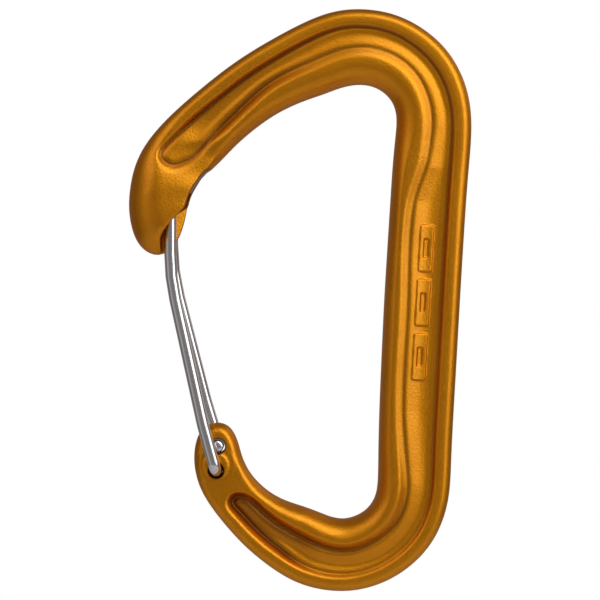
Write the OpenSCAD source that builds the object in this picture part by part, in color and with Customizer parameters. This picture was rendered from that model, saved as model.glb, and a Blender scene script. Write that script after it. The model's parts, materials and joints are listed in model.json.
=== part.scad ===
// Wire-gate climbing carabiner: a hot-forged aluminium body with an I-beam relief and a hooded nose,
// and a sprung gate bent from one stainless wire.
// X runs from the gate side to the spine, Y through the thickness and Z up. The origin is on the
// inside of the top bow, where a bolt hanger or a rope bears.

/* [Gate wire] */
// Diameter of the gate wire
wire_d = 2.1; // [1.9:0.05:2.2]
// Centreline radius of the four tight bends
elbow_r = 1.5; // [1.3:0.1:1.6]
// Width of the gate from leg to leg, between centrelines, at the hinge
gate_w = 8.4; // [8.3:0.1:9]
// Room beside each leg inside the nose
nose_gap = 0.25; // [0.2:0.05:0.3]
// How much larger than the wire the two pivot holes are
hole_play = 0.5; // [0.4:0.05:0.6]

/* [Forging] */
// Thickness of the flat hinge eye
eye_t = 6; // [5.4:0.1:6]
// Thickness of the hook that the gate latches on
hook_t = 2.3; // [2:0.1:2.4]
// Width of the bead along the outer edge
bead_w = 2.9; // [2.4:0.1:3.2]
// Height of the bead as a share of the inner rib's height
bead_share = 0.84; // [0.7:0.02:0.95]
// Thickness of the web beside the bead
web_outer_t = 3.8; // [3:0.1:4.5]
// Thickness of the web beside the inner rib
web_inner_t = 5; // [4:0.1:5.5]

/* [Hidden] */

$fn = 64;
body_colour = [0.80, 0.50, 0.06];
wire_colour = [0.72, 0.73, 0.75];
wire_r = wire_d / 2;

// The drawing's own centre lies below and to the left of the part's origin
datum = [10.1, 37.1];

// Axes of the two pivot holes and of the gate's crossbar, as [x, z] in the drawing
near_pivot = [-14.4, -29.2];
far_pivot = [-14.2, -25.1];
crossbar = [-22.25, 16.65];

// Depths of the hook, of a leg's centreline and of the cheek inside the nose
hook_y = hook_t / 2;
nose_leg_y = hook_y + nose_gap + wire_r;
cheek_y = hook_y + 2 * nose_gap + wire_d;
// Outer wall and roof of the nose's slots, and where the slots run out past its tip and its inner edge
slot_x = crossbar[0] - wire_r - nose_gap;
roof_room = 0.3;
roof_z = crossbar[1] + wire_r + roof_room;
slot_bottom = 4;
slot_inside = -15;
// Half the depth of a cut that runs out past both faces
cut_y = 8;
// Centre and radius of the eye's flat faces
eye_centre = [-13.6, -27.2];
eye_flat_r = 7.2;

// How far up from its elbow each leg starts to lean inward, and the radii of its two slight bends
lean_start = 8;
lean_r = 20;
knee_r = 35;
// How far each leg still closes in between its knee and the crossbar
toe_in = 0.05;
// Lap between the bent and the straight lengths of a leg, and how much thinner the bent ones are drawn
lap = 0.1;
bend_slack = 0.01;

// Stations across the forging, from the nose round the spine to the hinge eye:
// [outer x, outer z, inner x, inner z, rib width, half height, share of the relief]
nose = [
    [-25.2, 7.8, -24.2, 7.75, 4.5, 2.8, 0],
    [-27.2, 8.9, -22.3, 8.8, 4.5, 4.8, 0],
    [-28.7, 11.4, -20.6, 11.4, 4.5, 5.5, 0],
    [-29.45, 14.9, -19.6, 14.9, 4.5, 5.65, 0],
    [-29.4, 18.3, -18.8, 18.1, 4.5, 5.55, 0],
    [-28.7, 22.2, -16.5, 21.1, 4.4, 5.1, 0],
];
upper_arm = [
    [-27, 26.1, -14, 23.6, 4.3, 4.6, 0.7],
    [-24.1, 29.8, -11.4, 26.35, 4.2, 4.4, 1],
    [-20.3, 33.5, -8.6, 28.85, 4.3, 4.3, 1],
    [-15.2, 37.8, -5.3, 31.3, 4.6, 4.3, 1],
    [-10, 41.65, -2.4, 32.95, 5.1, 4.3, 1],
    [-4.4, 45, 0.8, 34.35, 5.6, 4.4, 1],
];
top_bow = [
    [1.2, 47.9, 4.2, 35.5, 6, 4.6, 1],
    [6.3, 49.65, 7, 36.55, 6.2, 4.7, 1],
    [11.5, 49.9, 10, 37.1, 6.2, 4.7, 1],
    [16.6, 48.9, 12.7, 36.7, 6.2, 4.7, 1],
    [21.3, 46.45, 14.8, 35.4, 6.3, 4.7, 1],
    [25.2, 42.9, 16.1, 33.6, 6.4, 4.6, 1],
    [27.9, 38.3, 16.6, 31.4, 6.6, 4.5, 1],
    [29.25, 33.2, 16.5, 29, 6.7, 4.4, 1],
];
spine = [
    [29.4, 28, 16.25, 26.4, 6.5, 4.3, 1],
    [29, 22.8, 15.9, 22.5, 5.7, 4.2, 1],
    [28.55, 17, 15.55, 17, 4.2, 4.1, 1],
    [28, 8.5, 15, 8.5, 4, 4, 1],
    [27.45, -0.7, 14.45, -0.7, 4.4, 4, 1],
    [26.9, -10.5, 14, -10.5, 4.25, 4, 1],
    [26.4, -19, 13.65, -19, 4.4, 4.1, 1],
    [26, -26.5, 13.47, -26.2, 5, 4.3, 1],
];
bottom_bow = [
    [25.75, -32, 13.35, -31.6, 5.1, 4.5, 1],
    [24.9, -36.6, 12.7, -34.3, 5.2, 4.6, 1],
    [22.9, -41.2, 11.2, -36.3, 5.4, 4.7, 1],
    [19.6, -45.1, 9.2, -37.35, 5.5, 4.7, 1],
    [15, -48.2, 7.6, -37.7, 5.5, 4.7, 1],
    [9.6, -49.85, 6.2, -37.6, 5.5, 4.7, 1],
    [4.2, -49.8, 4.7, -37.2, 5.3, 4.6, 1],
    [-1, -48.35, 2.7, -36.4, 4.9, 4.5, 1],
];
lower_arm = [
    [-5.6, -45.5, 0.2, -35.5, 4.4, 4.3, 1],
    [-9.6, -42.2, -2.9, -34.45, 3.8, 4, 1],
    [-13, -38.5, -5.7, -32.8, 3.4, 3.7, 1],
    [-15.6, -35.1, -7.9, -30.7, 3.4, 3.5, 0],
];
hinge_eye = [
    [-17.4, -31.8, -9.2, -28.8, 3.4, 3.5, 0],
    [-18.25, -27.9, -10.15, -26.6, 3.4, 3.5, 0],
    [-17.9, -24.4, -10.8, -24.3, 3.4, 3.3, 0],
    [-16.7, -22.1, -12.1, -21.95, 3.4, 3.1, 0],
    [-15.1, -21.25, -13.7, -21.2, 3.4, 2.2, 0],
];
stations = concat(nose, upper_arm, top_bow, spine, bottom_bow, lower_arm, hinge_eye);
rings_per_station = 2.5;
// In a section narrower than this, the bead and the rib narrow in proportion
full_width = 12;
rib_steps = 7;

// --- Smooth curves through the stations -----------------------------------------------------------

// Control points of a cubic B-spline that passes through the points given
function tightened(p) = [
    for (i = [0 : len(p) - 1])
        i == 0 || i == len(p) - 1 ? p[i] : p[i] - (p[i - 1] - 2 * p[i] + p[i + 1]) / 6
];

// Control point i, with one more past each end
function held(c, i) =
    i < 0 ? 2 * c[0] - c[1]
    : i >= len(c) ? 2 * c[len(c) - 1] - c[len(c) - 2]
    : c[i];

// The B-spline at s, which counts stations from 0
function along(c, s) =
    let (i = min(floor(s), len(c) - 2), t = s - i)
    ((1 - t) ^ 3 * held(c, i - 1)
        + (3 * t ^ 3 - 6 * t ^ 2 + 4) * held(c, i)
        + (-3 * t ^ 3 + 3 * t ^ 2 + 3 * t + 1) * held(c, i + 1)
        + t ^ 3 * held(c, i + 2)) / 6;

// --- Cross-section of the forging -----------------------------------------------------------------

// A round-shouldered hump of height h and width w, at a distance u from its edge
function hump(u, w, h, power) = h * max(0, 1 - abs(2 * u / w - 1) ^ power) ^ (1 / power);

// Distances from the outer edge at which the section is drawn, for a section w wide
function section_steps(w, bead, rib) = concat(
    [for (a = [0 : 30 : 150]) bead * (1 - cos(a)) / 2],
    [bead, (w + bead - rib) / 2],
    [for (k = [rib_steps : -1 : 1]) w - rib * (1 - cos(180 * k / rib_steps)) / 2],
    [w]
);

// Half height of the section at u from the outer edge
function half_height(u, w, bead, rib, h, relief) =
    let (
        web = web_outer_t + (web_inner_t - web_outer_t) * (u - bead) / (w - bead - rib),
        floor_y = u < bead / 2 || w - u < rib / 2 ? 0 : web / 2,
        bead_y = u < bead ? hump(u, bead, h * bead_share, 2.6) : 0,
        rib_y = w - u < rib ? hump(w - u, rib, h, 2.3) : 0
    )
    relief * max(floor_y, bead_y, rib_y) + (1 - relief) * hump(u, w, h, 2.4);

// One ring of 3-D points: over the near face from the outer edge to the inner, and back over the far
function ring(st) =
    let (
        outer = [st[0], st[1]],
        inner = [st[2], st[3]],
        w = norm(inner - outer),
        scale_down = min(1, w / full_width),
        bead = bead_w * scale_down,
        rib = st[4] * scale_down,
        u = section_steps(w, bead, rib),
        y = [for (k = u) half_height(k, w, bead, rib, st[5], st[6])],
        p = [for (k = u) outer + (inner - outer) * k / w],
        n = len(u)
    )
    concat(
        [for (k = [0 : n - 1]) [p[k][0], -y[k], p[k][1]]],
        [for (k = [n - 2 : -1 : 1]) [p[k][0], y[k], p[k][1]]]
    );

// A closed skin over rings of equal length
module skin(rings) {
    n = len(rings[0]);
    last = len(rings) - 1;
    sides = [
        for (i = [0 : last - 1], k = [0 : n - 1])
            let (a = i * n + k, b = i * n + (k + 1) % n)
            each [[a, b, b + n], [a, b + n, a + n]]
    ];
    start_cap = [for (k = [1 : n - 2]) [0, k + 1, k]];
    end_cap = [for (k = [1 : n - 2]) [last * n, last * n + k, last * n + k + 1]];
    polyhedron(points = [for (r = rings) each r], faces = concat(sides, start_cap, end_cap));
}

module forged_blank() {
    c = tightened(stations);
    last = len(stations) - 1;
    count = floor(last * rings_per_station);
    skin([for (i = [0 : count]) ring(along(c, last * i / count))]);
}

// --- Cuts in the forging --------------------------------------------------------------------------

// A prism through the thickness, from an outline in X and Z, between two depths
module through(outline, y_from, y_to) {
    translate([0, y_to, 0])
        rotate([90, 0, 0])
            linear_extrude(y_to - y_from)
                polygon(outline);
}

module both_sides() {
    children();
    mirror([0, 1, 0]) children();
}

module pivot_hole(at) {
    translate([at[0], 0, at[1]])
        rotate([90, 0, 0])
            cylinder(d = wire_d + hole_play, h = 2 * cut_y, center = true);
}

// Roof over the gate's crossbar, from the slots' outer wall inward
roof = [[slot_x, roof_z - 0.6], [slot_x + 0.6, roof_z], [-18.4, 18.4], [slot_inside, 18.4]];

// The gate's legs run beside the hook and swing out towards the spine
slot_outline = concat([[slot_x, slot_bottom]], roof, [[slot_inside, slot_bottom]]);

// Beyond this rim each cheek of the nose is cut back, so that only the hook is left
rim_outline = [
    [-23.9, slot_bottom], [-23.9, 10.7], [-23.5, 11.9], [-22.8, 13], [-21.6, 14.4], [-20.05, 15.9],
    [-19.05, 17.5], [-18.2, 18.75], [-17.5, 19.6], [slot_inside, 19.6], [slot_inside, slot_bottom],
];

// The crossbar's notch above the hook
notch_outline = concat([[slot_x, 14.5]], roof, [[slot_inside, 15.7], [-19.95, 15.7], [-21.5, 14.5]]);

// Flat faces where the legs pass the hinge eye
module eye_flats() {
    both_sides()
        translate([eye_centre[0], -eye_t / 2, eye_centre[1]])
            rotate([90, 0, 0])
                cylinder(r = eye_flat_r, h = cut_y);
}

module forged_body() {
    color(body_colour)
        translate([-datum[0], 0, -datum[1]])
            difference() {
                forged_blank();
                eye_flats();
                pivot_hole(near_pivot);
                pivot_hole(far_pivot);
                both_sides() through(slot_outline, hook_y, cheek_y);
                both_sides() through(rim_outline, hook_y, cut_y);
                through(notch_outline, -cheek_y, cheek_y);
            }
}

// --- Gate wire ------------------------------------------------------------------------------------

function unit(v) = v / norm(v);

// The bend at corner b of a wire that runs from a to c, in steps of about 13 degrees
function bend(a, b, c, r) =
    let (
        d0 = unit(b - a),
        d1 = unit(c - b),
        turn = acos(min(1, d0 * d1)),
        side = unit(d1 - d0 * cos(turn)),
        start = b - d0 * r * tan(turn / 2),
        steps = ceil(turn / 13)
    )
    [for (k = [0 : steps]) let (f = turn * k / steps) start + r * (d0 * sin(f) + side * (1 - cos(f)))];

// The wire's centreline: corners rounded to the radii given, ends kept
function bent_path(corners, radii) = concat(
    [corners[0]],
    [for (i = [1 : len(corners) - 2]) each bend(corners[i - 1], corners[i], corners[i + 1], radii[i - 1])],
    [corners[len(corners) - 1]]
);

// A round tube along a path that never runs along X
module tube(path, r, sides) {
    last = len(path) - 1;
    skin([
        for (i = [0 : last])
            let (
                d = unit(path[min(i + 1, last)] - path[max(i - 1, 0)]),
                e1 = unit(cross(d, [1, 0, 0])),
                e2 = cross(d, e1)
            )
            [for (k = [0 : sides - 1]) path[i] + r * (e1 * cos(360 * k / sides) - e2 * sin(360 * k / sides))]
    ]);
}

// A straight length of wire along Y at [x, z]
module pin(at, y_from, y_to) {
    translate([at[0], y_to, at[1]])
        rotate([90, 0, 0])
            cylinder(r = wire_r, h = y_to - y_from);
}

// One leg on the near side (-Y), from its pin in the hinge eye up to the middle of the crossbar
module leg(pivot, knee_z) {
    leg_y = gate_w / 2;
    pin_end = eye_t / 2 - lap;
    knee = [crossbar[0], -nose_leg_y - toe_in, knee_z];
    foot = [pivot[0], -leg_y, pivot[1]];
    rise = unit([knee[0] - foot[0], 0, knee[2] - foot[2]]);
    path = bent_path(
        [
            [pivot[0], elbow_r - leg_y + lap, pivot[1]],
            foot,
            foot + lean_start * rise,
            knee,
            [crossbar[0], -nose_leg_y, crossbar[1]],
            [crossbar[0], elbow_r - nose_leg_y + lap, crossbar[1]],
        ],
        [elbow_r, lean_r, knee_r, elbow_r]
    );
    tube(path, wire_r - bend_slack, 16);
    pin(pivot, elbow_r - leg_y, pin_end);
    pin(crossbar, elbow_r - nose_leg_y, 0);
}

module gate_near_leg() {
    color(wire_colour)
        translate([-datum[0], 0, -datum[1]])
            leg(near_pivot, 4);
}

module gate_far_leg() {
    color(wire_colour)
        translate([-datum[0], 0, -datum[1]])
            mirror([0, 1, 0])
                leg(far_pivot, 5.1);
}

forged_body();
gate_near_leg();
gate_far_leg();
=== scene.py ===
"""Looks of a wire-gate climbing carabiner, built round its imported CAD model.

Lengths are in millimetres in the part's drawing, whose centre lies DATUM away from the part's origin. They
turn into metres where a mesh is made.

The body is a field over space, negative inside, which a surface net turns into a mesh. The gate's wire is
two tubes, one for each of its legs, which meet at the middle of the crossbar.
"""
import json
import math

import bpy
import numpy as np
from mathutils import Matrix, Vector


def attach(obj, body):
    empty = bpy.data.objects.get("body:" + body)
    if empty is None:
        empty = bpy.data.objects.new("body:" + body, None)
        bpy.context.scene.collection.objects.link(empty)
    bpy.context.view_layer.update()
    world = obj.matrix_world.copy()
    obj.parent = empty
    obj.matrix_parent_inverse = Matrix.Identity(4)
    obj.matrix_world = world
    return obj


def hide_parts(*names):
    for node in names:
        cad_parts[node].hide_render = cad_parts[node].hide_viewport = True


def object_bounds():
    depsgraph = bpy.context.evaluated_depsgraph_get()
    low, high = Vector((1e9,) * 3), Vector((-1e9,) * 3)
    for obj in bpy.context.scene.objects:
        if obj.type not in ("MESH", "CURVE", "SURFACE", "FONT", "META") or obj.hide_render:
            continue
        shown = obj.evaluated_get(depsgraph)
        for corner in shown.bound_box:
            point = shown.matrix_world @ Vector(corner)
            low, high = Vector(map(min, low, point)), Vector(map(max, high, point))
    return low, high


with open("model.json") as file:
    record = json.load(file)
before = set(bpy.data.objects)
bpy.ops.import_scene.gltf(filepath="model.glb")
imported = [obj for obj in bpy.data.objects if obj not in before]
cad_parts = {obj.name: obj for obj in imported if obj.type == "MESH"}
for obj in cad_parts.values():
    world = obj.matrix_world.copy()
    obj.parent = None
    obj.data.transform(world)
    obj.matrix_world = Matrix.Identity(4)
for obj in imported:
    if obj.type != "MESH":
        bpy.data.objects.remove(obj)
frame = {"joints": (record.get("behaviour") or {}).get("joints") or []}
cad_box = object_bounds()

MM = 0.001
DATUM = np.array([10.1, 37.1])
JOINTS = {j["name"]: j for j in frame["joints"]}


def drawing_place(joint):
    """A joint's place as [x, z] in the drawing."""
    x, _, z = JOINTS[joint]["pos_m"]
    return np.array([x, z]) / MM + DATUM


# --- Sizes that the CAD shares --------------------------------------------------------------------

WIRE_R = 1.05
HOLE_R = 1.3
# half the eye's thickness, half the hook's, and the space that the wire has beside the hook
EYE_Y = 3.0
HOOK_Y = 1.15
NOSE_GAP = 0.25
# how far from the middle the legs' centre lines are, at the eye and at the nose, and where the cheeks start
LEG_Y = 4.2
NOSE_LEG_Y = HOOK_Y + NOSE_GAP + WIRE_R
CHEEK_Y = HOOK_Y + 2 * (NOSE_GAP + WIRE_R)
NEAR_PIVOT = drawing_place("gate_hinge")
FAR_PIVOT = NEAR_PIVOT + [0.2, 4.1]
CROSSBAR = drawing_place("wire_twist")

# Stations across the forging, from the nose round the spine to the top of the hinge eye:
# outer x and z, inner x and z, width of the inner rib
STATIONS = np.array([
    # nose
    (-24.7, 7.7, -24.7, 7.7, 4.5),
    (-27.2, 8.9, -22.3, 8.8, 4.5),
    (-28.7, 11.4, -20.6, 11.4, 4.5),
    (-29.45, 14.9, -19.6, 14.9, 4.5),
    (-29.4, 18.3, -18.8, 18.1, 4.5),
    (-28.7, 22.2, -16.6, 21.2, 4.4),
    # upper arm
    (-27.0, 26.1, -14.0, 23.6, 4.3),
    (-24.1, 29.8, -11.4, 26.35, 4.2),
    (-20.3, 33.5, -8.6, 28.85, 4.3),
    (-15.2, 37.8, -5.3, 31.3, 4.6),
    (-10.0, 41.65, -2.4, 32.95, 5.1),
    (-4.4, 45.0, 0.8, 34.35, 5.4),
    # top bow
    (1.2, 47.9, 4.2, 35.5, 5.8),
    (6.3, 49.65, 7.0, 36.55, 6.1),
    (11.5, 49.9, 10.0, 37.1, 6.2),
    (16.6, 48.9, 12.7, 36.7, 6.1),
    (21.3, 46.45, 14.8, 35.4, 6.1),
    (25.2, 42.9, 16.1, 33.6, 6.1),
    (27.9, 38.3, 16.6, 31.4, 6.2),
    (29.25, 33.2, 16.5, 29.0, 6.4),
    # spine
    (29.4, 28.0, 16.25, 26.4, 6.1),
    (29.0, 22.8, 15.9, 22.5, 5.7),
    (28.55, 17.0, 15.55, 17.0, 3.95),
    (28.0, 8.5, 15.0, 8.5, 3.7),
    (27.45, -0.7, 14.45, -0.7, 4.05),
    (26.9, -10.5, 14.0, -10.5, 3.9),
    (26.4, -19.0, 13.65, -19.0, 3.95),
    (26.0, -26.5, 13.47, -26.2, 4.6),
    # bottom bow
    (25.75, -32.0, 13.35, -31.6, 5.1),
    (24.9, -36.6, 12.7, -34.3, 5.2),
    (22.9, -41.2, 11.2, -36.3, 5.4),
    (19.6, -45.1, 9.2, -37.35, 5.5),
    (15.0, -48.2, 7.6, -37.7, 5.5),
    (9.6, -49.85, 6.2, -37.6, 5.5),
    (4.2, -49.8, 4.7, -37.2, 5.3),
    (-1.0, -48.35, 2.7, -36.4, 5.05),
    # lower arm
    (-5.6, -45.5, 0.2, -35.5, 4.65),
    (-9.6, -42.2, -2.9, -34.45, 3.9),
    (-13.0, -38.5, -5.7, -32.8, 3.2),
    (-15.6, -35.1, -7.9, -30.7, 3.0),
    # hinge eye
    (-17.4, -31.8, -9.2, -28.8, 3.0),
    (-18.25, -27.9, -10.15, -26.6, 3.0),
    (-17.9, -24.4, -10.8, -24.3, 3.0),
    (-16.7, -22.1, -12.1, -21.95, 3.0),
    (-14.35, -21.15, -14.35, -21.15, 3.0),
])
PER_SPAN = 12

# How the section changes from station to station, as {station: millimetres}.
# Half height of the inner rib and of the outer bead, and how far in from the edge each one is rounded
RIB_HEIGHT = {0: 5.1, 2.5: 5.85, 3.8: 5.75, 6.5: 3.95, 9: 4.0, 13: 4.2, 18: 4.2, 21: 4.2, 26: 4.2, 29: 4.6,
              34: 4.6, 36: 4.2, 38: 3.5, 40: 2.8, 44: 2.7}
BEAD_HEIGHT = {0: 5.1, 2.5: 5.85, 3.8: 5.75, 6.5: 3.95, 9: 3.6, 12: 3.5, 18: 3.4, 21: 3.1, 27: 3.15,
               31: 3.75, 34: 3.85, 36: 3.8, 38: 3.35, 40: 2.8, 44: 2.7}
RIB_CREST = {0: 2.2, 1.5: 1.2, 2.5: 0.45, 5: 0.45, 7: 2.1, 8: 2.4, 9.5: 2.9, 12: 3.4, 14: 3.85, 19: 4.1,
             22: 2.3, 26: 2.3, 29: 3.2, 32: 4.0, 34: 3.7, 36: 3.0, 38: 2.2, 40: 1.8, 44: 2.0}
BEAD_CREST = {0: 5.5, 3: 6.6, 4: 6.4, 6: 3.2, 8: 2.1, 18: 2.1, 26: 2.0, 33: 1.8, 37: 1.6, 39: 1.8, 44: 2.2}
# width of the bead, the share of its height that its outer edge is rounded over, and how wide its wall is
BEAD_WIDTH = {0: 3.2, 7: 3.3, 9: 3.5, 14: 3.3, 17: 3.5, 21: 3.35, 28: 3.3, 34: 3.1, 36: 3.45, 38: 3.35,
              44: 2.4}
BEAD_ROUND = {4: 1.0, 8: 0.68, 38: 0.68, 44: 0.9}
BEAD_WALL = {0: 0.9, 8: 1.1, 14: 1.0, 30: 1.0, 34: 1.2, 37: 1.6, 44: 1.2}
# how far the rib's wall runs from the crease to the crest, and where it is steepest
RIB_RUN = {8: 1.9, 10.5: 1.9, 13: 2.9, 19: 2.8, 22: 1.6, 26: 1.65, 29: 1.9, 32: 1.5, 34: 1.7, 36: 1.6,
           38: 1.0}
RIB_STEEPEST = {10.5: 1.0, 13: 0.75, 19: 0.75, 22: 1.0}
# half height of the channel's floor, and how far it stays below the crests at least
FLOOR = {4.9: 4.95, 7.9: 2.5, 9: 2.5, 14: 2.9, 18: 2.85, 22: 2.15, 27: 2.2, 31: 2.75, 34: 2.65, 36: 2.2,
         38: 1.8, 44: 1.8}
LEAST_DEPTH = 0.35
# the floor's rise to the rib and to the bead, how far out it runs, and where it is steepest
RISE_IN = {5.5: 0.05, 7.5: 0.4, 9: 0.5, 13: 0.5, 18: 0.5, 22: 1.35, 26: 1.5, 30: 0.8, 34: 0.8, 36: 0.7,
           44: 0.7}
RUN_IN = {5.5: 1.7, 9: 1.55, 14: 2.3, 18: 2.0, 22: 5.2, 26: 5.8, 30: 2.5, 34: 2.4, 36: 2.0, 44: 1.7}
PEAK_IN = {5.5: 0.85, 9: 0.95, 14: 1.2, 18: 1.3, 22: 1.3, 26: 1.3, 34: 1.3, 36: 1.1, 44: 0.9}
RISE_OUT = {5.5: 0.05, 7.5: 0.4, 9: 0.45, 13: 0.3, 27: 0.3, 30: 0.4, 33: 0.6, 36: 0.6, 38: 0.3, 44: 0.3}
RUN_OUT = {5.5: 1.4, 9: 1.4, 14: 1.1, 27: 1.2, 31: 1.6, 34: 1.9, 44: 1.8}
PEAK_OUT = {5.5: 0.6, 27: 0.5, 34: 0.7, 44: 0.8}
# how much deeper than the floor the creases are at its two sides, and how wide
GROOVE_OUT = {5: 0.35, 7: 0.5, 11: 0.5, 15: 0.15, 32: 0.12, 34: 0.25, 36: 0.6, 44: 0.6}
GROOVE_IN = {5: 0.35, 7: 0.5, 9: 0.45, 12: 0.06, 28: 0.06, 31: 0.35, 36: 0.6, 44: 0.5}
GROOVE_WIDTH = {5: 0.5, 10: 0.5, 14: 0.38, 32: 0.38, 35: 0.5, 37: 0.6, 44: 0.6}
# how much shade is painted into the creases, beyond what the light does
SHADE_OUT = {5: 0.7, 9: 0.9, 20: 0.8, 28: 0.5, 31: 0.2, 34: 0.3, 36: 1.0, 44: 0.8}
SHADE_IN = {5: 0.7, 9: 0.8, 12: 0.5, 27: 0.5, 31: 0.7, 44: 0.9}
# how far a crease's shade reaches up the wall, and how far the inner crease's reaches over the floor
SHADE_WIDTH = 0.35
SHADE_RUN = {5: 0.4, 7: 0.8, 12: 0.8, 15: 0.4, 30: 0.4, 34: 0.8, 36: 1.5, 44: 1.5}
# slope at which the nose's face falls towards its inner edge, and how far from that edge the fall starts
FACE_LEAN = {0: 0.1, 3: 0.12, 4: 0.17, 5: 0.2, 6: 0.15, 7.5: 0.04, 9: 0}
FACE_RUN = 7.3
# share of the way across the section where the bead's sizes start to turn into the rib's, and over how much
TURN_START = 0.25
TURN_WIDTH = 0.3
# radius of the blur that softens the face's relief
FACE_BLUR = 0.15

# Three raised pads in a row on the spine's floor, each with a slit
PADS_AT = np.array([21.0, -0.45])
PADS_LEAN = math.radians(3.5)
PAD_PITCH = 9.3
PAD_HALF = np.array([1.3, 4.15])
PAD_CORNER = 0.5
PAD_EDGE = 0.25
PAD_RAISE = 0.28
PAD_SLIT = np.array([0.2, 1.4])
PAD_SLIT_EDGE = 0.1

# The low boss round the lower pivot hole
BOSS_AT = np.array([-14.4, -28.3])
BOSS_R = 2.5
BOSS_EDGE = 0.9
BOSS_RAISE = 0.3

# The stations between which the channel's edge follows the bead and the rib, and its two rounded ends
FIRST_CHANNEL, LAST_CHANNEL = 6, 38
NOSE_END = [(-19.9, 23.6), (-21.5, 23.0), (-23.1, 23.6), (-23.8, 25.2)]
HINGE_END = [(-11.6, -35.0), (-11.2, -34.1), (-10.1, -33.8)]

# What is cut out of the nose: a slot on each side of the hook, the cheeks below their rim, and a notch
# through the hook for the crossbar, all under one roof
SLOT_X = CROSSBAR[0] - WIRE_R - NOSE_GAP
ROOF_Z = CROSSBAR[1] + WIRE_R + 0.3
ROOF = [(SLOT_X, ROOF_Z - 0.6), (SLOT_X + 0.6, ROOF_Z), (-18.9, 18.4), (-18.2, 19.6), (-17.1, 21.1),
        (-16.2, 22.0), (-15.5, 22.3), (-14.5, 22.3)]
SLOT = [(SLOT_X, 4)] + ROOF + [(-14.5, 4)]
RIM = [(-23.85, 4), (-23.85, 10.5), (-23.4, 11.6), (-22.6, 12.75), (-21.35, 14.15), (-19.9, 15.6),
       (-19.4, 16.1), (-15, 16.1), (-15, 4)]
NOTCH = [(SLOT_X, 14.5)] + ROOF + [(-14.5, 15.7), (-19.95, 15.7), (-21.5, 14.5)]
# where the hook starts to thin towards its tip, and the slope of each of its sides
HOOK_START = -21.8
HOOK_TAPER = 0.38

# Below NOSE_TOP the nose's stations are level lines, blended in over NOSE_BLEND, on its own side of NOSE_X
NOSE_STATIONS = 6
NOSE_TOP = 21.0
NOSE_BLEND = 6.0
NOSE_X = -12

# The powers of the curves that round the outer and inner edges, and how far these start above the crest
BEAD_POWER = 2
RIB_POWER = 2.1
SHOULDER_LIFT = 0.03
# how softly the body's surfaces meet
FACE_FILLET = 0.15
CUT_FILLET = 0.2
HOLE_FILLET = 0.3
RIM_FILLET = 0.5
# how much narrower the lower hole is inside than at its mouths, how deep a mouth is, and how it narrows
HOLE_WAIST = 0.2
HOLE_MOUTH = 0.6
WAIST_EASE = 0.8

# Half sizes of the box that the field fills, the mesh's cell, and the step of the plane's grid
FIELD_X, FIELD_Y, FIELD_Z = 30.5, 6.0, 51.0
VOXEL = 0.2
GRID = VOXEL / 2
# how far from an edge the section is known, and how far from the channel's
REACH = 16.0
CHANNEL_REACH = 7.5

# --- Sizes of the wire ----------------------------------------------------------------------------

ELBOW_R = 1.5
# bend radii at the shin and at the knee, and the knee's height in each leg
SHIN_R = 20
KNEE_R = 35
NEAR_KNEE_Z = 4.0
FAR_KNEE_Z = 5.1
# the shin lies SHIN_UP from the foot and LEG_BOW outside the straight line to the knee
SHIN_UP = 8
LEG_BOW = 0.3
# the knee stands this much wider than the crossbar's ends, and the pins stop this far short of EYE_Y
KNEE_SPREAD = 0.05
PIN_SHORT = 0.1
# the dome at a pin's tip, as a share of the wire's radius, and half the gap between the two halves
DOME = 0.45
SEAM = 0.005
# millimetres of straight wire and degrees of bend between the mesh's rings, at most
RING_STEP = 0.5
BEND_STEP = 6


# --- Plane geometry -------------------------------------------------------------------------------

def closed_spline(points, per_span=PER_SPAN):
    """A closed cubic B-spline that passes through the points, as far as can be seen."""
    p = np.asarray(points, float)
    c = p - (np.roll(p, 1, 0) - 2 * p + np.roll(p, -1, 0)) / 6
    t = np.linspace(0, 1, per_span, endpoint=False)[None, :, None]
    weights = [(1 - t) ** 3, 3 * t**3 - 6 * t**2 + 4, -3 * t**3 + 3 * t**2 + 3 * t + 1, t**3]
    curve = sum(w * np.roll(c, 1 - i, 0)[:, None] for i, w in enumerate(weights)) / 6
    return curve.reshape(-1, 2)


def nearest(curve, xs, zs, reach):
    """Distance from every grid point to a line of points, out to reach, and how far along it that is."""
    dist = np.full((len(xs), len(zs)), reach, np.float32)
    place = np.zeros_like(dist)
    for k, (a, b) in enumerate(zip(curve[:-1], curve[1:])):
        low, high = np.minimum(a, b) - reach, np.maximum(a, b) + reach
        i0, i1 = np.searchsorted(xs, [low[0], high[0]])
        j0, j1 = np.searchsorted(zs, [low[1], high[1]])
        d = b - a
        ux, uz = xs[i0:i1, None] - a[0], zs[None, j0:j1] - a[1]
        t = np.clip((ux * d[0] + uz * d[1]) / max(d @ d, 1e-12), 0, 1)
        r = np.hypot(ux - t * d[0], uz - t * d[1])
        closer = r < dist[i0:i1, j0:j1]
        dist[i0:i1, j0:j1][closer] = r[closer]
        place[i0:i1, j0:j1][closer] = (k + t)[closer]
    return dist, place


def within(outline, xs, zs):
    """Which grid points lie inside a closed outline."""
    odd = np.zeros((len(xs), len(zs)), bool)
    for a, b in zip(outline, np.roll(outline, -1, 0)):
        j0, j1 = np.searchsorted(zs, sorted((a[1], b[1])))
        if j1 > j0:
            x = a[0] + (zs[j0:j1] - a[1]) * (b[0] - a[0]) / (b[1] - a[1])
            odd[:, j0:j1] ^= xs[:, None] < x
    return odd


def signed(outline, xs, zs, reach=3.0):
    """Distance to a closed outline, negative inside it."""
    outline = np.asarray(outline, float)
    dist, _ = nearest(np.vstack([outline, outline[:1]]), xs, zs, reach)
    return np.where(within(outline, xs, zs), -dist, dist)


def away(point, xs, zs):
    """Distance of every grid point from one point."""
    return np.hypot(xs[:, None] - point[0], zs[None] - point[1])


def smooth(t):
    """A step from 0 to 1 with level ends."""
    t = np.clip(t, 0, 1)
    return t * t * (3 - 2 * t)


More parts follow.
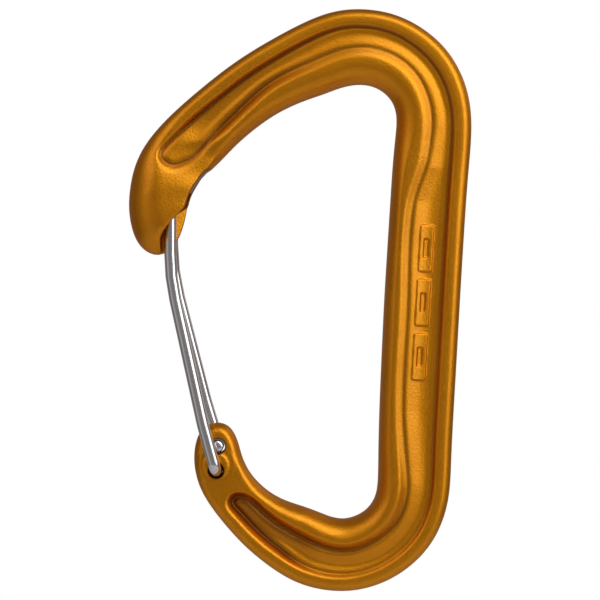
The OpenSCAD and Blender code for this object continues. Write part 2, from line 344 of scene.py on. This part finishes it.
def along(profile, s):
    """A section size at station s, eased between the stations it is given at."""
    knots = sorted(profile)
    value = np.full_like(s, profile[knots[0]])
    for a, b in zip(knots[:-1], knots[1:]):
        value = value + (profile[b] - profile[a]) * smooth((s - a) / (b - a))
    return value


def soften(field, radius):
    """Blur a field on the grid by a Gaussian."""
    steps = math.ceil(3 * radius / GRID)
    weight = np.exp(-0.5 * (np.arange(-steps, steps + 1) * GRID / radius) ** 2)
    weight /= weight.sum()
    for _ in range(2):
        padded = np.pad(field, ((steps, steps), (0, 0)), mode="edge")
        field = sum(w * padded[i : i + len(field)] for i, w in enumerate(weight)).T
    return field


# --- The forging as a field: negative inside, about a distance near the surface -------------------

def rise(u, run, peak):
    """A fillet that falls from 1 to 0 over run, level at both ends and steepest at peak."""
    t = np.clip(u / run, 0, 1)
    p = run / peak
    return (1 - t) ** p * (1 + p * t)


def relief_height(d_out, d_in, s, channel):
    """The forging's face before its edges are rounded: half height, crest, and the shade painted into its
    creases.
    """
    bead = along(BEAD_WIDTH, s)
    rib = np.interp(s, np.arange(len(STATIONS)), STATIONS[:, 4])
    inward = smooth((d_out / np.maximum(d_out + d_in, 1e-6) - TURN_START) / TURN_WIDTH)
    outward = 1 - inward
    crest = along(BEAD_HEIGHT, s) * outward + along(RIB_HEIGHT, s) * inward
    crest = crest - along(FACE_LEAN, s) * (np.hypot(np.maximum(FACE_RUN - d_in, 0), 1) - 1)

    from_rib, from_bead = np.maximum(d_in - rib, 0), np.maximum(d_out - bead, 0)
    floor = along(FLOOR, s)
    floor = floor + along(RISE_IN, s) * rise(from_rib, along(RUN_IN, s), along(PEAK_IN, s))
    floor = floor + along(RISE_OUT, s) * rise(from_bead, along(RUN_OUT, s), along(PEAK_OUT, s))
    floor = crest - np.hypot(np.maximum(crest - floor, 0), LEAST_DEPTH)
    groove = along(GROOVE_OUT, s) * outward + along(GROOVE_IN, s) * inward
    crease = groove * np.exp(-((channel / along(GROOVE_WIDTH, s)) ** 2))

    up = np.maximum(channel, 0)
    bead_left = np.maximum(1 - up / along(BEAD_WALL, s), 0) ** 2
    rib_left = rise(up, along(RIB_RUN, s), along(RIB_STEEPEST, s))
    left = bead_left * outward + rib_left * inward
    shade = along(SHADE_OUT, s) * outward + along(SHADE_IN, s) * inward
    reach = np.where(channel > 0, SHADE_WIDTH, SHADE_WIDTH * outward + along(SHADE_RUN, s) * inward)
    shade = shade * np.exp(-((channel / reach) ** 2))
    return soften(crest - (crest - floor) * left - crease, FACE_BLUR), crest, shade


def raised(xs, zs):
    """What the pads on the spine and the boss round the lower pivot hole add to the height."""
    dx, dz = xs[:, None] - PADS_AT[0], zs[None] - PADS_AT[1]
    u = dx * math.cos(PADS_LEAN) - dz * math.sin(PADS_LEAN)
    v = dx * math.sin(PADS_LEAN) + dz * math.cos(PADS_LEAN)
    v = v - PAD_PITCH * np.clip(np.round(v / PAD_PITCH), -1, 1)
    du, dv = np.abs(u) - PAD_HALF[0] + PAD_CORNER, np.abs(v) - PAD_HALF[1] + PAD_CORNER
    inside = PAD_CORNER - np.hypot(np.maximum(du, 0), np.maximum(dv, 0)) - np.minimum(np.maximum(du, dv), 0)
    slit = np.hypot(np.maximum(np.abs(u) - PAD_SLIT[0], 0), np.maximum(np.abs(v) - PAD_SLIT[1], 0))
    pad = np.minimum(smooth(inside / PAD_EDGE), smooth((slit - PAD_SLIT_EDGE) / PAD_EDGE))
    boss = smooth((BOSS_R - away(BOSS_AT, xs, zs)) / BOSS_EDGE)
    return PAD_RAISE * pad + BOSS_RAISE * boss


def body_maps(xs, zs):
    """What body_field needs to know at each point of the plane, in its order, and then the shade painted into
    the creases.
    """
    last = len(STATIONS) - 1
    ring = closed_spline(np.vstack([STATIONS[:, 0:2], STATIONS[-2:0:-1, 2:4]]))
    outer = ring[: last * PER_SPAN + 1]
    inner = np.vstack([ring[last * PER_SPAN :], ring[:1]])[::-1]
    d_out, at_out = nearest(outer, xs, zs, REACH)
    d_in, at_in = nearest(inner, xs, zs, REACH)
    solid = within(ring, xs, zs)
    s = (at_out * d_in + at_in * d_out) / np.maximum(d_out + d_in, 1e-6) / PER_SPAN
    d_out = np.where(solid | (d_out > d_in), d_out, -d_out)
    d_in = np.where(solid | (d_in > np.abs(d_out)), d_in, -d_in)

    st = STATIONS[FIRST_CHANNEL : LAST_CHANNEL + 1]
    index = np.arange(FIRST_CHANNEL, LAST_CHANNEL + 1, dtype=float)
    across = st[:, 2:4] - st[:, 0:2]
    across /= np.linalg.norm(across, axis=1)[:, None]
    at = PER_SPAN * np.arange(FIRST_CHANNEL, LAST_CHANNEL + 1)
    tangent = ring[at + 1] - ring[at - 1]
    inward = np.stack([tangent[:, 1], -tangent[:, 0]], 1) / np.linalg.norm(tangent, axis=1)[:, None]
    outer_crease = st[:, 0:2] + inward * along(BEAD_WIDTH, index)[:, None]
    inner_crease = st[:, 2:4] - across * st[:, 4:5]
    edge = closed_spline(np.vstack([outer_crease[1:], HINGE_END, inner_crease[::-1], NOSE_END]))
    channel = signed(edge, xs, zs, CHANNEL_REACH)

    nose = smooth((NOSE_TOP - zs[None]) / NOSE_BLEND) * ((xs[:, None] < NOSE_X) & (zs[None] > 0))
    level = np.interp(zs, STATIONS[:NOSE_STATIONS, 1], np.arange(NOSE_STATIONS, dtype=float))
    s = s + nose * (level[None] - s)
    height, crest, shade = relief_height(np.maximum(d_out, 0), np.maximum(d_in, 0), s, channel)
    height = height + raised(xs, zs)
    slope_x, slope_z = np.gradient(height, GRID)
    hook = HOOK_Y - HOOK_TAPER * np.maximum(xs - HOOK_START, 0)
    return np.stack([
        d_out / along(BEAD_CREST, s),
        d_in / along(RIB_CREST, s),
        along(BEAD_CREST, s),
        along(RIB_CREST, s),
        crest + SHOULDER_LIFT + BOSS_RAISE * smooth(BOSS_R + 1 - away(BOSS_AT, xs, zs)),
        crest * along(BEAD_ROUND, s),
        height,
        np.sqrt(1 + slope_x**2 + slope_z**2),
        signed(SLOT, xs, zs),
        signed(RIM, xs, zs),
        signed(NOTCH, xs, zs),
        np.broadcast_to(hook[:, None], height.shape),
        away(NEAR_PIVOT, xs, zs) - HOLE_R,
        away(FAR_PIVOT, xs, zs) - HOLE_R,
        shade,
    ]).astype(np.float32)


def shoulder(share, y, radius, height, drop, power):
    """The field of an edge rounded from a flat at height, radius inward, to a side that starts below."""
    across = np.maximum(1 - share, 0)
    up = np.maximum(y - height + drop, 0) / drop
    value = across**power + up**power - 1
    slope = power * np.sqrt((across ** (power - 1) / radius) ** 2 + (up ** (power - 1) / drop) ** 2)
    return value / np.maximum(slope, 0.3)


def smooth_max(a, b, k):
    """The greater of two fields, with a fillet k wide where they meet."""
    h = np.maximum(k - np.abs(a - b), 0) / k
    return np.maximum(a, b) + h * h * k / 4


def body_field(maps, y):
    """The forging's field at points of the plane and depths y from its middle."""
    from_out, from_in, r_out, r_in, crest, drop, height, steep = maps[:8]
    slot, rim, notch, hook, near_hole, far_hole = maps[8:14]
    y = np.abs(y)
    f = (y - height) / steep
    f = smooth_max(f, shoulder(from_out, y, r_out, crest, drop, BEAD_POWER), FACE_FILLET)
    f = smooth_max(f, shoulder(from_in, y, r_in, crest, crest, RIB_POWER), FACE_FILLET)

    f = smooth_max(f, -np.maximum(slot, np.maximum(y - CHEEK_Y, hook - y)), CUT_FILLET)
    f = smooth_max(f, -np.maximum(rim, hook - y), RIM_FILLET)
    f = smooth_max(f, -np.maximum(notch, y - CHEEK_Y), CUT_FILLET)
    waist = HOLE_WAIST * smooth((EYE_Y - HOLE_MOUTH - y) / WAIST_EASE)
    f = smooth_max(f, -near_hole - waist, HOLE_FILLET)
    return smooth_max(f, -far_hole, HOLE_FILLET)


# --- Meshing --------------------------------------------------------------------------------------

CORNERS = np.array([(i, j, k) for i in (0, 1) for j in (0, 1) for k in (0, 1)])


def surface_net(f):
    """Vertices, in grid steps, and quads of the surface where a sampled field is zero."""
    solid = f < 0
    cells = [n - 1 for n in f.shape]
    count = np.zeros(cells, np.uint8)
    for c in CORNERS:
        count += solid[tuple(slice(o, o + n) for o, n in zip(c, cells))]
    mixed = (count > 0) & (count < 8)
    index = np.argwhere(mixed)
    number = np.full(cells, -1, np.int32)
    number[mixed] = np.arange(len(index))
    value = np.stack([f[tuple((index + c).T)] for c in CORNERS], 1)
    total, hits = np.zeros((len(index), 3)), np.zeros((len(index), 1))
    for a in range(8):
        for axis in range(3):
            b = a | (4 >> axis)
            if b == a:
                continue
            crossing = (value[:, a] < 0) != (value[:, b] < 0)
            va, vb = value[crossing, a], value[crossing, b]
            point = np.tile(CORNERS[a].astype(float), (len(va), 1))
            point[:, axis] += va / (va - vb)
            total[crossing] += point
            hits[crossing] += 1
    vertices = index + total / hits

    quads = []
    for axis in range(3):
        u, v = (axis + 1) % 3, (axis + 2) % 3
        start = [slice(None)] * 3
        end = [slice(None)] * 3
        start[axis], end[axis] = slice(0, -1), slice(1, None)
        change = solid[tuple(start)] != solid[tuple(end)]
        g = np.argwhere(change)
        g = g[(g[:, u] > 0) & (g[:, v] > 0) & (g[:, u] < f.shape[u] - 1) & (g[:, v] < f.shape[v] - 1)]
        outward = solid[tuple(start)][tuple(g.T)]
        ring = []
        for du, dv in ((-1, -1), (0, -1), (0, 0), (-1, 0)):
            c = g.copy()
            c[:, u] += du
            c[:, v] += dv
            ring.append(number[tuple(c.T)])
        ring = np.stack(ring, 1)
        ring[~outward] = ring[~outward, ::-1]
        quads.append(ring)
    return vertices, np.vstack(quads)


def new_object(name, vertices, faces, normals=None):
    """A smooth-shaded mesh object from drawing points [x, y, z] in millimetres."""
    place = (np.asarray(vertices, float) - [DATUM[0], 0, DATUM[1]]) * MM
    mesh = bpy.data.meshes.new(name)
    mesh.from_pydata(place.tolist(), [], [list(map(int, f)) for f in faces])
    mesh.polygons.foreach_set("use_smooth", [True] * len(mesh.polygons))
    mesh.update()
    if normals is not None:
        mesh.normals_split_custom_set_from_vertices(normals.tolist())
    obj = bpy.data.objects.new(name, mesh)
    bpy.context.scene.collection.objects.link(obj)
    return obj


def build_body():
    """The forging's mesh: a net of its field, whose points are then moved onto the field's zero."""
    xs = np.arange(-FIELD_X, FIELD_X, GRID)
    zs = np.arange(-FIELD_Z, FIELD_Z, GRID)
    ys = (np.arange(0, FIELD_Y, VOXEL) + VOXEL / 2).astype(np.float32)
    maps = body_maps(xs, zs)
    near = body_field(maps[:, ::2, ::2, None], ys[None, None])
    field = np.concatenate([near[:, :, ::-1], near], axis=2).astype(np.float32)
    grid, quads = surface_net(field)
    points = np.stack([
        xs[0] + grid[:, 0] * VOXEL,
        -ys[-1] + grid[:, 2] * VOXEL,
        zs[0] + grid[:, 1] * VOXEL,
    ], 1)

    def maps_at(p):
        u, v = (p[:, 0] - xs[0]) / GRID, (p[:, 2] - zs[0]) / GRID
        i, j = u.astype(int), v.astype(int)
        a, b = (u - i).astype(np.float32), (v - j).astype(np.float32)
        return (maps[:, i, j] * (1 - a) * (1 - b) + maps[:, i + 1, j] * a * (1 - b)
                + maps[:, i, j + 1] * (1 - a) * b + maps[:, i + 1, j + 1] * a * b)

    def field_at(p):
        return body_field(maps_at(p), p[:, 1])

    def gradient(p, step=0.05):
        g = np.zeros_like(p)
        for axis in range(3):
            d = np.zeros(3)
            d[axis] = step
            g[:, axis] = (field_at(p + d) - field_at(p - d)) / (2 * step)
        return g

    # three steps onto the field's zero, none longer than half a cell
    for _ in range(3):
        g = gradient(points)
        move = -field_at(points)[:, None] * g / np.maximum((g * g).sum(1), 0.05)[:, None]
        size = np.linalg.norm(move, axis=1)[:, None]
        points = points + move * np.minimum(1, 0.5 * VOXEL / np.maximum(size, 1e-9))
    normal = gradient(points)
    normal /= np.linalg.norm(normal, axis=1)[:, None]
    # the grid's axes are x, z, y, so its quads face inward in x, y, z
    body = new_object("anodised_body", points, quads[:, ::-1], normal)

    slot, _, _, hook, near_hole, far_hole, shade = maps_at(points)[8:]
    y = np.abs(points[:, 1])
    # painted shade: the slots and the holes are painted dark inside, fading within half a millimetre of their
    # mouths, on top of the shade painted into the creases
    in_slot = smooth((0.5 - slot) / 0.6) * smooth((CHEEK_Y + 0.25 - y) / 0.3)
    in_slot *= smooth((y - hook - 0.1) / 0.4)
    in_hole = smooth((0.35 - np.minimum(near_hole, far_hole)) / 0.3)
    shaded = np.maximum(shade, np.maximum(in_slot, in_hole))
    shaded = np.where(y > 0.6, shaded, 0).astype(np.float32)
    # the painted shade is stored on the body as a point attribute, which the material darkens by
    body.data.attributes.new("painted_shade", "FLOAT", "POINT").data.foreach_set("value", shaded)
    return body


# --- Gate wire ------------------------------------------------------------------------------------

def unit(v):
    """A vector's direction."""
    return v / np.linalg.norm(v)


def bend(a, b, c, radius):
    """The arc that rounds corner b between a and c."""
    d0, d1 = unit(b - a), unit(c - b)
    turn = math.acos(min(1, d0 @ d1))
    side = unit(d1 - d0 * math.cos(turn))
    start = b - d0 * radius * math.tan(turn / 2)
    f = np.linspace(0, turn, max(3, math.ceil(math.degrees(turn) / BEND_STEP)))[:, None]
    return start + radius * (d0 * np.sin(f) + side * (1 - np.cos(f)))


def leg_corners(pivot, knee_z, side):
    """Corners and bend radii of one leg, from its pin's tip up to the crossbar. side is -1 near, +1 far."""
    foot = np.array([pivot[0], side * LEG_Y, pivot[1]])
    knee = np.array([CROSSBAR[0], side * (NOSE_LEG_Y + KNEE_SPREAD), knee_z])
    climb = unit(np.array([knee[0] - foot[0], 0, knee[2] - foot[2]]))
    top = np.array([CROSSBAR[0], side * NOSE_LEG_Y, CROSSBAR[1]])
    tip = np.array([pivot[0], -side * (EYE_Y - PIN_SHORT), pivot[1]])
    shin = foot + SHIN_UP * climb - [LEG_BOW, 0, 0]
    return [tip, foot, shin, knee, top], [ELBOW_R, SHIN_R, KNEE_R, ELBOW_R]


def tube(name, path, radius, sides=36):
    """A wire along a path that never runs along X, domed at its start and cut flat at its end."""
    d = np.gradient(path, axis=0)
    d /= np.linalg.norm(d, axis=1)[:, None]
    e1 = np.cross(d, [1.0, 0, 0])
    e1 /= np.linalg.norm(e1, axis=1)[:, None]
    e2 = np.cross(d, e1)
    turn = np.linspace(0, 2 * math.pi, sides, endpoint=False)[:, None]
    points, normals = [path[0]], [-d[0]]
    # the dome's rings, by their angle up from its rim
    for a in np.radians([80, 65, 50, 35, 20, 8]):
        out = np.cos(turn) * e1[0] + np.sin(turn) * e2[0]
        points += list(path[0] + d[0] * radius * DOME * (1 - math.sin(a)) + radius * math.cos(a) * out)
        lean = out * math.cos(a) - d[0] * math.sin(a) / DOME
        normals += list(lean / np.linalg.norm(lean, axis=1)[:, None])
    for c, u, v in zip(path[1:], e1[1:], e2[1:]):
        out = np.cos(turn) * u + np.sin(turn) * v
        points += list(c + radius * out)
        normals += list(out)
    points.append(path[-1])
    normals.append(d[-1])
    rings = (len(points) - 2) // sides
    faces = []
    for k in range(sides):
        k2 = (k + 1) % sides
        faces.append((0, 1 + k2, 1 + k))
        faces += [(1 + i * sides + k, 1 + i * sides + k2, 1 + (i + 1) * sides + k2, 1 + (i + 1) * sides + k)
                  for i in range(rings - 1)]
        faces.append((len(points) - 1, 1 + (rings - 1) * sides + k, 1 + (rings - 1) * sides + k2))
    return new_object(name, points, faces, np.array(normals))


def build_leg(name, pivot, knee_z, side):
    """Half of the gate's wire, from its pin's tip to the middle of the crossbar."""
    corners, bends = leg_corners(pivot, knee_z, side)
    corners.append(np.array([CROSSBAR[0], side * SEAM, CROSSBAR[1]]))
    path = [corners[0]]
    for i, radius in enumerate(bends, 1):
        path += list(bend(corners[i - 1], corners[i], corners[i + 1], radius))
    path = np.array(path + [corners[-1]])
    fine = [path[0]]
    for a, b in zip(path[:-1], path[1:]):
        parts = max(1, math.ceil(np.linalg.norm(b - a) / RING_STEP))
        fine += [a + (b - a) * k / parts for k in range(1, parts + 1)]
    return tube(name, np.array(fine), WIRE_R)


# --- Materials ------------------------------------------------------------------------------------

def node_material(name):
    """A new material, its nodes, its links and its main shader."""
    mat = bpy.data.materials.new(name)
    mat.use_nodes = True
    return mat, mat.node_tree.nodes, mat.node_tree.links, mat.node_tree.nodes["Principled BSDF"]


def noise(nodes, links, coords, scale, detail, low, high):
    """A noise over the object, mapped from its middle half to low..high."""
    tex = nodes.new("ShaderNodeTexNoise")
    tex.inputs["Scale"].default_value = scale
    tex.inputs["Detail"].default_value = detail
    links.new(coords, tex.inputs["Vector"])
    out = nodes.new("ShaderNodeMapRange")
    for socket, value in (("From Min", 0.25), ("From Max", 0.75), ("To Min", low), ("To Max", high)):
        out.inputs[socket].default_value = value
    links.new(tex.outputs["Fac"], out.inputs["Value"])
    return out.outputs["Result"]


def anodised():
    """Satin amber anodising over a fine blasted grain, with shade painted in as a darker brown where the
    body's attribute says so.
    """
    mat, nodes, links, bsdf = node_material("anodised_aluminium")
    coords = nodes.new("ShaderNodeTexCoord").outputs["Object"]

    painted_shade = nodes.new("ShaderNodeAttribute")
    painted_shade.attribute_name = "painted_shade"
    amber = nodes.new("ShaderNodeMix")
    amber.data_type = "RGBA"
    links.new(noise(nodes, links, coords, 160, 3, 0, 1), amber.inputs["Factor"])
    amber.inputs["A"].default_value = (0.77, 0.262, 0.001, 1)
    amber.inputs["B"].default_value = (0.84, 0.292, 0.002, 1)
    # painted shade: the amber is mixed towards a deep brown by the body's shade attribute
    colour = nodes.new("ShaderNodeMix")
    colour.data_type = "RGBA"
    links.new(painted_shade.outputs["Fac"], colour.inputs["Factor"])
    links.new(amber.outputs["Result"], colour.inputs["A"])
    colour.inputs["B"].default_value = (0.14, 0.03, 0.0, 1)
    links.new(colour.outputs["Result"], bsdf.inputs["Base Color"])

    bsdf.inputs["Metallic"].default_value = 1
    links.new(noise(nodes, links, coords, 2400, 2, 0.38, 0.48), bsdf.inputs["Roughness"])
    grain = nodes.new("ShaderNodeBump")
    grain.inputs["Distance"].default_value = 0.045 * MM
    grain.inputs["Strength"].default_value = 0.6
    links.new(noise(nodes, links, coords, 3000, 3, 0, 1), grain.inputs["Height"])
    links.new(grain.outputs["Normal"], bsdf.inputs["Normal"])
    bsdf.inputs["Specular Tint"].default_value = (0.5, 0.4, 0.3, 1)
    bsdf.inputs["Coat Weight"].default_value = 0.3
    bsdf.inputs["Coat Roughness"].default_value = 0.3
    return mat


def stainless():
    """Bright drawn wire."""
    mat, _, _, bsdf = node_material("stainless_wire")
    bsdf.inputs["Base Color"].default_value = (0.75, 0.70, 0.69, 1)
    bsdf.inputs["Metallic"].default_value = 1
    bsdf.inputs["Roughness"].default_value = 0.2
    return mat


# --- The object -----------------------------------------------------------------------------------

body = build_body()
body.data.materials.append(anodised())
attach(body, "frame")
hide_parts("forged_body")

steel = stainless()
for name, pivot, knee_z, side, rides, node in (
    ("gate_wire_near", NEAR_PIVOT, NEAR_KNEE_Z, -1, "gate", "gate_near_leg"),
    ("gate_wire_far", FAR_PIVOT, FAR_KNEE_Z, 1, "far_leg", "gate_far_leg"),
):
    leg = build_leg(name, pivot, knee_z, side)
    leg.data.materials.append(steel)
    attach(leg, rides)
    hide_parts(node)


# --- Stage ----------------------------------------------------------------------------------------

low, high = (Vector(corner) for corner in cad_box)
centre = (low + high) / 2
height = high.z - low.z

# How far off the camera stands, how wide it sees there, and its sensor's width in millimetres
VIEW_DISTANCE = 3.5 * height
VIEW_WIDTH = 1.0354 * height
SENSOR = 36
# the round floor's radius, its depth below the object, and its number of sides
GROUND_R = 0.2
GROUND_BELOW = 0.06
GROUND_SIDES = 96

camera = bpy.data.objects.new("camera", bpy.data.cameras.new("camera"))
bpy.context.scene.collection.objects.link(camera)
camera.location = (centre.x, centre.y - VIEW_DISTANCE, centre.z)
camera.rotation_euler = (math.radians(90), 0, 0)
camera.data.sensor_width = SENSOR
camera.data.lens = SENSOR * VIEW_DISTANCE / VIEW_WIDTH
camera.data.clip_start = 0.01
camera.data.clip_end = 10
bpy.context.scene.camera = camera


def softbox(name, turn, off_axis, distance, size, radiance, colour=(1, 1, 1)):
    """A soft light seen from the object at an angle off the front axis, turned from +X towards +Z."""
    turn, off_axis = math.radians(turn), math.radians(off_axis)
    aside = math.sin(off_axis)
    out = Vector((aside * math.cos(turn), -math.cos(off_axis), aside * math.sin(turn)))
    tangent = Vector((-math.sin(turn), 0, math.cos(turn)))
    light = bpy.data.lights.new(name, "AREA")
    light.shape = "ELLIPSE"
    light.color = colour
    light.size, light.size_y = size
    light.energy = radiance * math.pi * size[0] * size[1] * math.pi / 4
    obj = bpy.data.objects.new(name, light)
    bpy.context.scene.collection.objects.link(obj)
    turned = Matrix((tangent, out.cross(tangent), out)).transposed()
    obj.matrix_world = Matrix.Translation(centre + out * distance) @ turned.to_4x4()


softbox("key", 42, 55, 0.50, (0.95, 0.40), 1.8, (0.96, 1.1, 1.2))
softbox("fill", 135, 60, 0.60, (0.55, 0.35), 0.8)
softbox("back", 36, 125, 0.60, (0.5, 0.3), 0.5)

# The world is plain white to the camera, and grey to everything else, in levels from the front to the back
world = bpy.data.worlds.new("studio")
bpy.context.scene.world = world
world.use_nodes = True
wn, wl = world.node_tree.nodes, world.node_tree.links
dim = wn["Background"]
toward = wn.new("ShaderNodeTexCoord")
split = wn.new("ShaderNodeSeparateXYZ")
wl.new(toward.outputs["Generated"], split.inputs[0])
half = wn.new("ShaderNodeMapRange")
wl.new(split.outputs["Y"], half.inputs["Value"])
half.inputs["From Min"].default_value = -1.0
ramp = wn.new("ShaderNodeValToRGB")
wl.new(half.outputs[0], ramp.inputs[0])
levels = [(0.0, 0.20), (0.12, 0.26), (0.25, 0.52), (0.36, 0.30), (0.48, 0.14), (0.62, 0.14), (0.85, 0.25),
          (1.0, 0.4)]
while len(ramp.color_ramp.elements) < len(levels):
    ramp.color_ramp.elements.new(0.5)
for element, (at, level) in zip(ramp.color_ramp.elements, levels):
    element.position = at
    element.color = (level, level, level, 1)
wl.new(ramp.outputs[0], dim.inputs["Color"])
white = wn.new("ShaderNodeBackground")
white.inputs["Color"].default_value = (1, 1, 1, 1)
path = wn.new("ShaderNodeLightPath")
mix = wn.new("ShaderNodeMixShader")
wl.new(path.outputs["Is Camera Ray"], mix.inputs[0])
wl.new(dim.outputs[0], mix.inputs[1])
wl.new(white.outputs[0], mix.inputs[2])
wl.new(mix.outputs[0], wn["World Output"].inputs[0])
bpy.context.scene.view_settings.view_transform = "Standard"

ground_mesh = bpy.data.meshes.new("floor")
ground_mesh.from_pydata(
    [(centre.x + GROUND_R * math.cos(a), centre.y + GROUND_R * math.sin(a), low.z - GROUND_BELOW)
     for a in np.linspace(0, 2 * math.pi, GROUND_SIDES, endpoint=False)], [], [list(range(GROUND_SIDES))])
ground = bpy.data.objects.new("floor", ground_mesh)
bpy.context.scene.collection.objects.link(ground)
